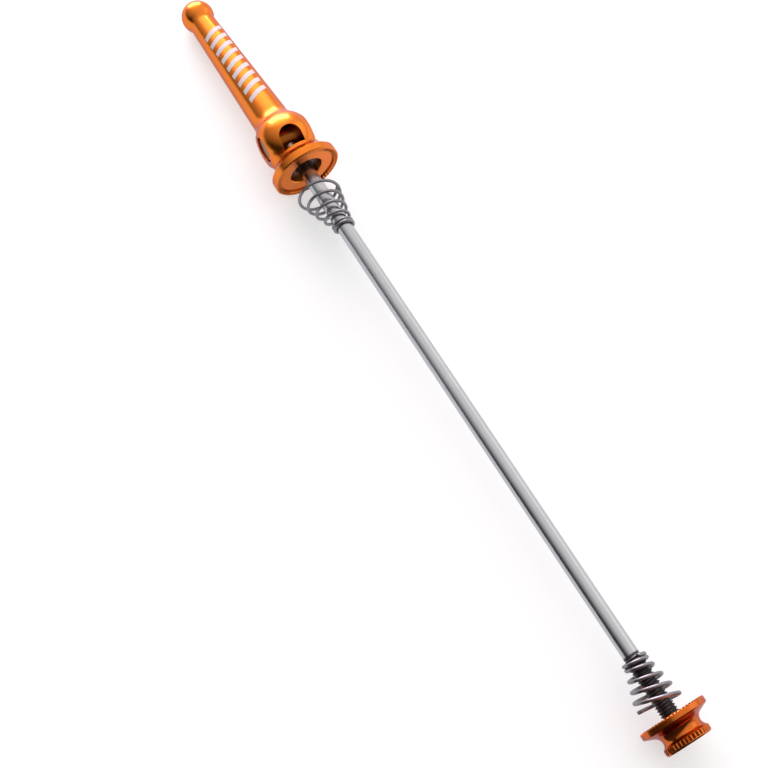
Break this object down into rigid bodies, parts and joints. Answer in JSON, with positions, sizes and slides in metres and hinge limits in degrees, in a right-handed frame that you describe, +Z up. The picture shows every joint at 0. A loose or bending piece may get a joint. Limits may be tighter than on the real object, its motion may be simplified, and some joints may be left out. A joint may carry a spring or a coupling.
{
  "type": "quick release skewer",
  "caption": "Slim bicycle quick release skewer: ball-headed cam lever on a cross barrel, serrated cup and nut, conical springs on a steel rod.",
  "frame": {"origin": "centre of the cup's clamp face, on the rod's axis", "axes": "+X along the rod from the lever to the nut, +Z up as the skewer lies at rest, Y along the lever's pivot"},
  "size_m": [0.2534, 0.0202, 0.0206],
  "materials": {
    "gold_anodised": "orange gold anodised, polished",
    "barrel_brass": "turned",
    "black_acetal": "moulded",
    "steel_rod": "rolled, satin",
    "spring_steel": "drawn wire",
    "nylon": "moulded"
  },
  "bodies": {
    "skewer": {"rod": "steel_rod", "cross_barrel": "barrel_brass", "lever_spring": "spring_steel", "nut_spring": "spring_steel"},
    "lever": {"lever": "gold_anodised"},
    "cup": {"cup": "gold_anodised", "cam_bush": "black_acetal"},
    "nut_carrier": {"nut_lock_ring": "nylon"},
    "nut": {"nut": "gold_anodised"}
  },
  "joints": [
    {"name": "lever_pivot", "type": "hinge", "parent": "skewer", "child": "lever", "pos_m": [-0.0124, 0, 0], "axis": [0, 1, 0], "range_deg": [-85, 62]},
    {"name": "cup_slide", "type": "slide", "parent": "skewer", "child": "cup", "axis": [1, 0, 0], "range_m": [-0.00063, 0.00086]},
    {"name": "nut_travel", "type": "slide", "parent": "skewer", "child": "nut_carrier", "axis": [1, 0, 0], "range_m": [-0.0088, 0.0032], "deforming": ["nut_spring"]},
    {"name": "nut_spin", "type": "hinge", "parent": "nut_carrier", "child": "nut", "pos_m": [0.175, 0, 0], "axis": [1, 0, 0], "range_deg": [-3960, 1440]}
  ],
  "couplings": [
    {"joint": "cup_slide", "follows": "lever_pivot", "m_per_rad": -0.000573},
    {"joint": "nut_travel", "follows": "nut_spin", "m_per_rad": 0.00012732}
  ]
}
